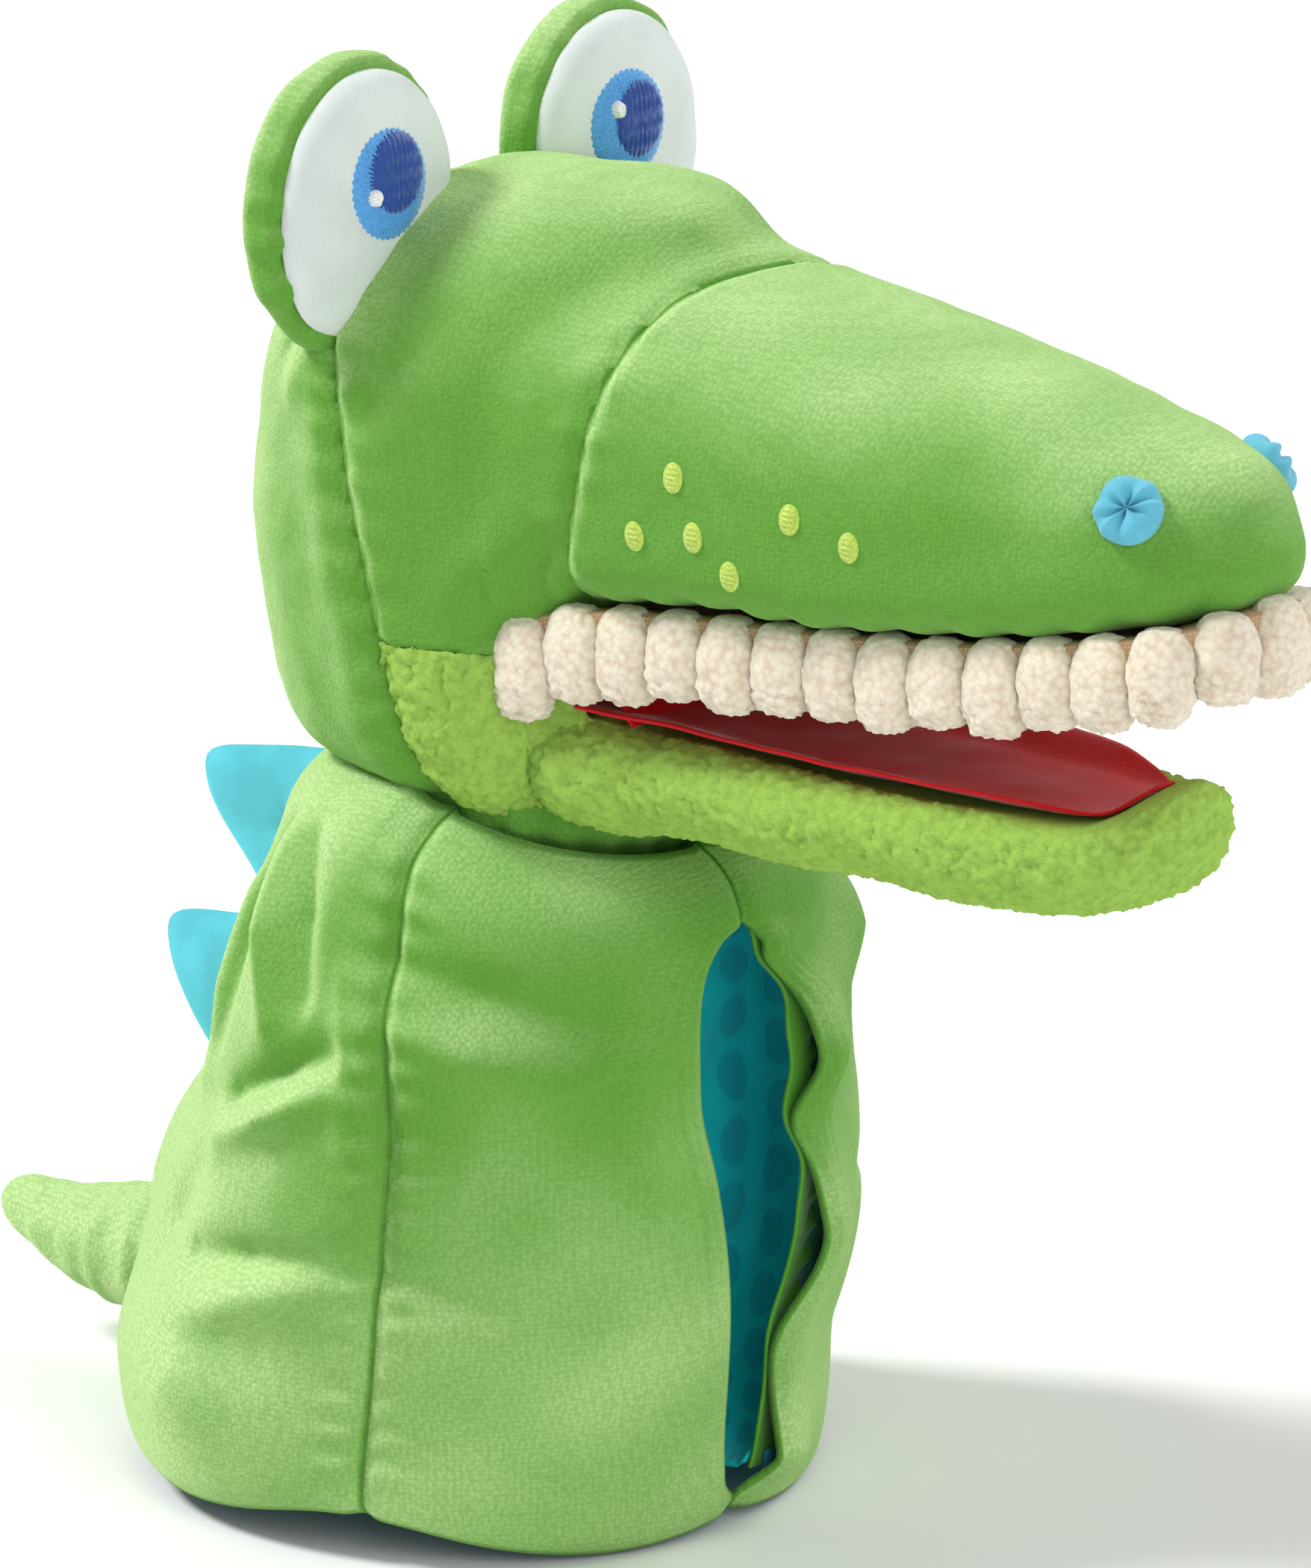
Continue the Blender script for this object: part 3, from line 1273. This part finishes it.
def eye_outline(turn):
    """The eye's outline at a turn in degrees, from straight out and upwards: it points down and out."""
    return 25.2 + 1.2 * bell(turn - 95, 50) + 6.0 * bell(turned_from(turn, -62), 40)


class PUPPET_OT_eyes(bpy.types.Operator):
    """Make the two eye knobs with their lids and stitching"""
    bl_idname = "puppet.eyes"
    bl_label = "Eyes"

    def execute(self, context):
        for side, sign in SIDES:
            self.knob(side, sign)
            self.stitching(side, sign)
        return {"FINISHED"}

    def knob(self, side, sign):
        """The white face and the velour lid round it."""
        x0, y0, z0 = EYE

        def white(around, share):
            out, face = ball_slice(share)
            reach = eye_outline(math.degrees(around)) * out ** 0.9
            depth = 8.0 * signed_power(face, 0.9) if face > 0 else 4 * face
            x, z = reach * math.cos(around), reach * math.sin(around)
            soft = 0.5 * ripple(x, depth, z, 10, 2 + sign)
            return Vector((sign * (x0 + x), y0 - depth - soft * out, z0 + z))

        thing = new_object(f"{side}_eye_white_cloth", ball_mesh(72, 40, white))
        finish_piece(thing, "white_satin", "head", f"{side}_eye_white")

        def lid(around, share):
            out, face = ball_slice(share)
            turn = math.degrees(around)
            hood = 1 + 0.12 * bell(turned_from(turn, 60), 80)
            reach = (eye_outline(turn) - 0.6) * out ** 0.55
            depth = -4 - 13 * signed_power(-face, 0.8) if face < 0 else -4 + 6.0 * face ** 0.7
            roll = ramp(out, 0.7, 1) * 3.2 * hood
            low = max(bell(turned_from(turn, -45), 48), 0.12)
            gather = math.sin(around * 15 + 2 * math.sin(around * 3)) * low * ramp(out, 0.3, 0.8)
            soft = 0.8 * ripple(math.cos(around) * 20, depth, math.sin(around) * 20, 9)
            reach += roll + 1.3 * gather + soft
            return Vector((sign * (x0 + reach * math.cos(around)), y0 - depth - 1.2 * gather,
                           z0 + reach * math.sin(around)))

        thing = new_object(f"{side}_eye_lid_velour", ball_mesh(96, 56, lid))
        finish_piece(thing, "green_velour", "head", f"{side}_eye_lid", f"{side}_eye_stuffing")

    def stitching(self, side, sign):
        """Iris, pupil and glint: discs of radial or level threads that lie on the white."""
        x0, y0, z0 = EYE
        centre = (39 * sign - 2, 288)
        pupil, pupil_size, glint = STITCHES[side]

        def on_white(x, z, lift):
            """A point a lift in front of the white."""
            across, up = sign * x - x0, z - z0
            off = math.hypot(across, up) / eye_outline(math.degrees(math.atan2(up, across)))
            face = math.sqrt(max(1 - off ** 2.22, 0))
            return Vector((x, y0 - 8.0 * face ** 0.9 - lift, z))

        def disc(name, middle, radii, spokes, lift):
            def place(around, share):
                out, face = ball_slice(share)
                ragged = 1 + 0.02 * math.sin(around * 41) * (out > 0.9)
                x = middle[0] + radii[0] * out * ragged * math.cos(around)
                z = middle[1] + radii[1] * out * ragged * math.sin(around)
                ridge = 0.22 * math.cos(around * spokes) * ramp(out, 0.3, 0.7) if spokes else (
                    0.2 * math.cos(x * 4.2) + 0.12 * math.cos(z * 1.7 + 3 * math.sin(x * 2.1)))
                height = lift * (1 - out ** 6) + ridge * (1 - out ** 10) if face > 0 else -0.8
                return on_white(centre[0] + x, centre[1] + z, height)

            thing = new_object(f"{side}_{name}_stitches", ball_mesh(180, 36, place))
            finish_piece(thing, f"{name}_thread", "head", f"{side}_{name}")

        disc("iris", (0, 0), (11.6, 11.8), 60, 1.2)
        disc("pupil", pupil, pupil_size, 0, 1.9)
        disc("glint", glint, (1.9, 2.1), 0, 2.6)


def on_snout(start, ahead):
    """Where a line from a start meets the snout's cover, and the cover's normal there."""
    snout = bpy.data.objects["snout_panel_cloth"]
    hit, place, normal, _ = snout.ray_cast(start * MM, ahead)
    if not hit:
        raise RuntimeError("a nostril or cheek spot has no cloth under it")
    return place / MM, normal


class PUPPET_OT_nostrils(bpy.types.Operator):
    """Gather the two nostril knobs"""
    bl_idname = "puppet.nostrils"
    bl_label = "Nostrils"

    def execute(self, context):
        for side, sign in SIDES:
            out = Vector((sign * 0.80, -0.32, 0.50)).normalized()
            turn = out.to_track_quat("Z", "Y").to_matrix()
            centre = on_snout(Vector((sign * 13.5, -190, 238)) + out * 40, -out)[0] + out * 0.3

            def place(around, share, turn=turn, centre=centre, sign=sign):
                girth, height = ball_slice(share)
                front = ramp(height, -0.3, 0.6)
                gathers = math.cos(around * 6 + 1.4 * math.sin(around * 2 + sign)) * front
                dent = 2.6 * bell(girth, 0.45) * (height > 0)
                radius = (7.2 + 0.6 * gathers * girth) * girth
                point = Vector((radius * math.cos(around), radius * math.sin(around),
                                4.6 * height - dent + 0.9 * gathers * (1 - girth ** 4)))
                return centre + turn @ point

            thing = new_object(f"{side}_nostril_knob", ball_mesh(72, 48, place))
            finish_piece(thing, "light_blue_jersey", "head", f"{side}_nostril")
        return {"FINISHED"}


# The cheek spots' places in Y and Z
SPOTS = [(-94, 239), (-84, 225), (-99, 227), (-108, 220), (-122, 234), (-136, 230)]


class PUPPET_OT_spots(bpy.types.Operator):
    """Stitch the cheek spots"""
    bl_idname = "puppet.spots"
    bl_label = "Cheek spots"

    def execute(self, context):
        for side, sign in SIDES:
            group = bmesh.new()
            for y, z in SPOTS:
                spot, normal = on_snout(Vector((sign * 90, y, z)), Vector((-sign, 0, 0)))
                turn = normal.to_track_quat("Z", "Y").to_matrix()

                def oval(around, share, turn=turn, spot=spot):
                    girth, height = ball_slice(share)
                    x, up = 2.4 * girth * math.cos(around), 3.3 * girth * math.sin(around)
                    ridge = 0.18 * math.cos(up * 6.0) * (1 - girth ** 6)
                    return spot + turn @ Vector((x, up, 0.9 * height + ridge * (height > 0)))

                add_to(group, ball_mesh(40, 30, oval))
            thing = new_object(f"{side}_cheek_spots_thread", group)
            finish_piece(thing, "spot_thread", "head", f"{side}_cheek_spots")
        return {"FINISHED"}


FLOOR_DROP, FLOOR_HALF_SIZE = 8.5, 60000
# Each light's name, place round the puppet, height and apparent size in degrees, and strength
LIGHTS = [("key_light", -146, 48, 14, 2.7), ("side_light", 75, 35, 30, 1.0),
          ("fill_light", -22, 28, 45, 1.1)]
LIGHT_DISTANCE, VIEW_LIMIT = 1.5, 200


class PUPPET_OT_stage(bpy.types.Operator):
    """Set up the floor, the soft lights and the camera"""
    bl_idname = "puppet.stage"
    bl_label = "Stage"

    def execute(self, context):
        scene = context.scene
        look = scene.puppet_stage
        scene.view_settings.view_transform = "Standard"

        mesh = bmesh.new()
        bmesh.ops.create_grid(mesh, x_segments=1, y_segments=1, size=FLOOR_HALF_SIZE)
        floor = new_object("floor", mesh)
        paint = Finish("floor_paint", Roughness=0.9, Specular_IOR_Level=0.1)
        paint.set("Base Color", paint.mix(paint.noise(300, 1.0) * 0.1, (0.90,) * 3, (0.86,) * 3))
        floor.data.materials.append(paint.material)
        floor.location.z = -FLOOR_DROP * MM

        world = bpy.data.worlds.new("studio")
        scene.world = world
        world.use_nodes = True
        nodes, links = world.node_tree.nodes, world.node_tree.links
        sky, backdrop = nodes["Background"], nodes.new("ShaderNodeBackground")
        path, both = nodes.new("ShaderNodeLightPath"), nodes.new("ShaderNodeMixShader")
        for background in (sky, backdrop):
            background.inputs["Color"].default_value = (1, 1, 1, 1)
        sky.inputs["Strength"].default_value = 0.36
        links.new(path.outputs["Is Camera Ray"], both.inputs["Fac"])
        links.new(sky.outputs["Background"], both.inputs[1])
        links.new(backdrop.outputs["Background"], both.inputs[2])
        links.new(both.outputs["Shader"], nodes["World Output"].inputs["Surface"])

        target = Vector(look.target)
        for name, azimuth, elevation, softness, strength in LIGHTS:
            data = bpy.data.lights.new(name, "SUN")
            data.energy = strength
            data.angle = math.radians(softness)
            aim(linked(name, data), target, math.radians(azimuth), math.radians(elevation),
                LIGHT_DISTANCE)

        data = bpy.data.cameras.new("camera")
        data.lens = look.lens
        data.clip_end = VIEW_LIMIT
        scene.camera = linked("camera", data)
        aim(scene.camera, target, look.azimuth, look.elevation, look.distance)
        return {"FINISHED"}


def aim(thing, target, azimuth, elevation, distance):
    """Put a lamp or camera on a sphere round the target and point it there."""
    back = Vector((math.sin(azimuth) * math.cos(elevation), -math.cos(azimuth) * math.cos(elevation),
                   math.sin(elevation)))
    thing.location = target + back * distance
    thing.rotation_euler = back.to_track_quat("Z", "Y").to_euler()


class PUPPET_PT_panel(bpy.types.Panel):
    """Lists the puppet's pieces and settings"""
    bl_label = "Crocodile puppet"
    bl_idname = "PUPPET_PT_panel"
    bl_space_type = "VIEW_3D"
    bl_region_type = "UI"
    bl_category = "Puppet"

    def draw(self, context):
        for operator in OPERATORS:
            self.layout.operator(operator.bl_idname)


OPERATORS = [PUPPET_OT_sleeve, PUPPET_OT_linings, PUPPET_OT_neck, PUPPET_OT_fins, PUPPET_OT_tail,
             PUPPET_OT_head, PUPPET_OT_mouth, PUPPET_OT_teeth, PUPPET_OT_jaw, PUPPET_OT_eyes,
             PUPPET_OT_nostrils, PUPPET_OT_spots, PUPPET_OT_stage]
GROUPS = {"puppet_colours": PuppetColours, "puppet_sizes": PuppetSizes, "puppet_stage": PuppetStage}


def register():
    for group in GROUPS.values():
        bpy.utils.register_class(group)
    for name, group in GROUPS.items():
        setattr(bpy.types.Scene, name, bpy.props.PointerProperty(type=group))
    for operator in OPERATORS:
        bpy.utils.register_class(operator)
    bpy.utils.register_class(PUPPET_PT_panel)


def unregister():
    bpy.utils.unregister_class(PUPPET_PT_panel)
    for operator in reversed(OPERATORS):
        bpy.utils.unregister_class(operator)
    for name, group in GROUPS.items():
        delattr(bpy.types.Scene, name)
        bpy.utils.unregister_class(group)


def run(operator):
    """Call an operator by its identifier."""
    area, name = operator.bl_idname.split(".")
    getattr(getattr(bpy.ops, area), name)()


def main():
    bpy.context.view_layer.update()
    register()
    for operator in OPERATORS:
        run(operator)


if __name__ == "__main__":
    main()
